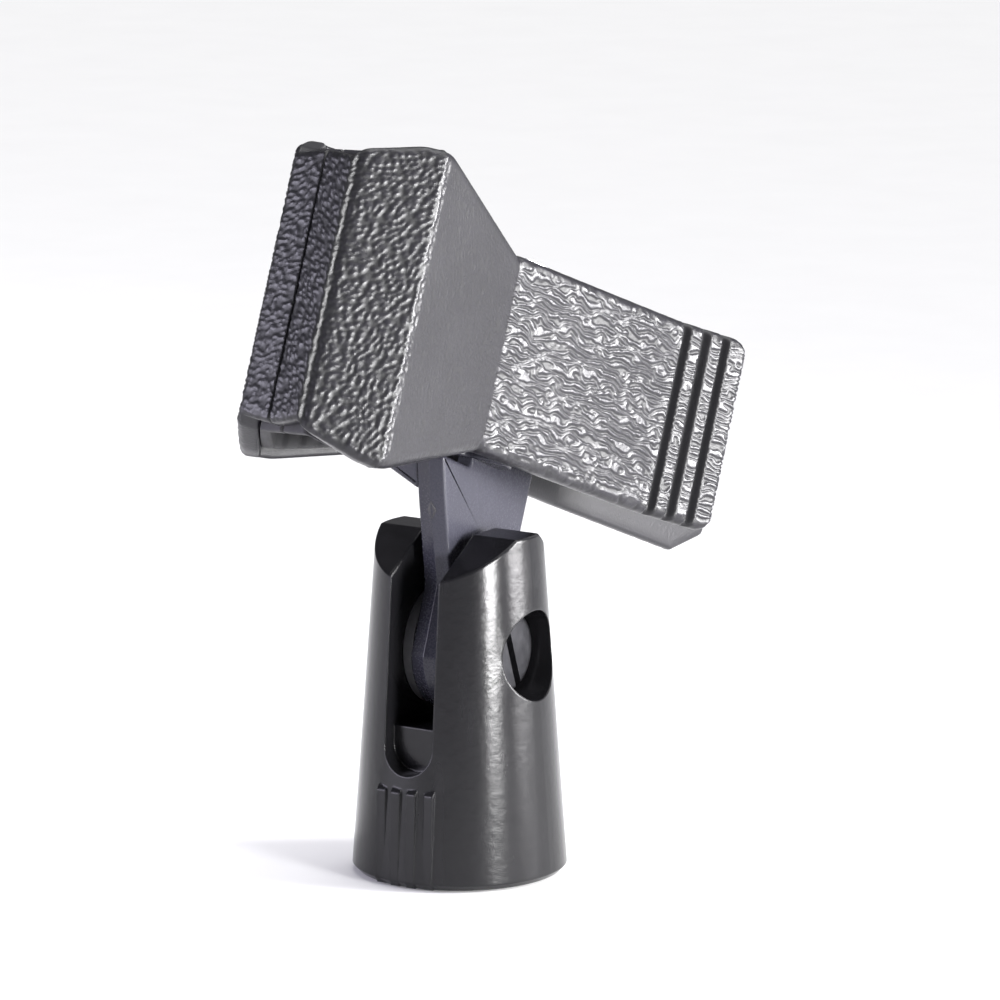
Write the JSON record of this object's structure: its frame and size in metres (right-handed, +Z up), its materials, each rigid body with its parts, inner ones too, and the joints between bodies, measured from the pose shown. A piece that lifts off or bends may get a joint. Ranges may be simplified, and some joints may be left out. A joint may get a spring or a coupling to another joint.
{
  "type": "spring microphone clip",
  "caption": "Spring-loaded microphone clip with two hinged jaws, grooved squeeze handles and a slotted conical swivel base with a stand thread.",
  "frame": {"origin": "centre of the stand thread's mouth on the base's flat bottom face", "axes": "+Z up the base's axis, out of the stand thread's closed end; +X along the tilt screw towards its slotted head; -Y is the front, where the jaws' lips face"},
  "size_m": [0.0316, 0.0981, 0.0942],
  "materials": {
    "base_plastic": "satin-gloss moulded black",
    "clip_plastic": "moulded black with a leather grain",
    "insert_brass": "turned brass",
    "black_screw": "black oxide",
    "zinc_nut": "zinc plated",
    "pin_steel": "bright steel",
    "spring_steel": "spring steel",
    "washer_nylon": "black nylon",
    "liner_rubber": "soft black rubber"
  },
  "bodies": {
    "base": {"swivel_base": "base_plastic", "thread_insert": "insert_brass", "pivot_screw": "black_screw", "pivot_nut": "zinc_nut", "lock_washer": "spring_steel", "friction_washer_left": "washer_nylon", "friction_washer_right": "washer_nylon"},
    "lower_half": {"lower_jaw": "clip_plastic", "lower_jaw_liner": "liner_rubber", "hinge_pin": "pin_steel", "pin_retainer": "spring_steel", "jaw_spring": "spring_steel"},
    "upper_half": {"upper_jaw": "clip_plastic", "upper_jaw_liner": "liner_rubber"}
  },
  "joints": [
    {"name": "head_tilt", "type": "hinge", "parent": "base", "child": "lower_half", "pos_m": [0, 0, 0.0284], "axis": [1, 0, 0], "range_deg": [-67.5, 67.5]},
    {"name": "jaw_open", "type": "hinge", "parent": "lower_half", "child": "upper_half", "pos_m": [0.0016, 0.00777, 0.06274], "axis": [0, 0.3827, 0.9239], "range_deg": [0, 20], "stiffness_Nm_per_rad": 0.24, "springref_deg": -60.16, "deforming": ["jaw_spring"]}
  ]
}
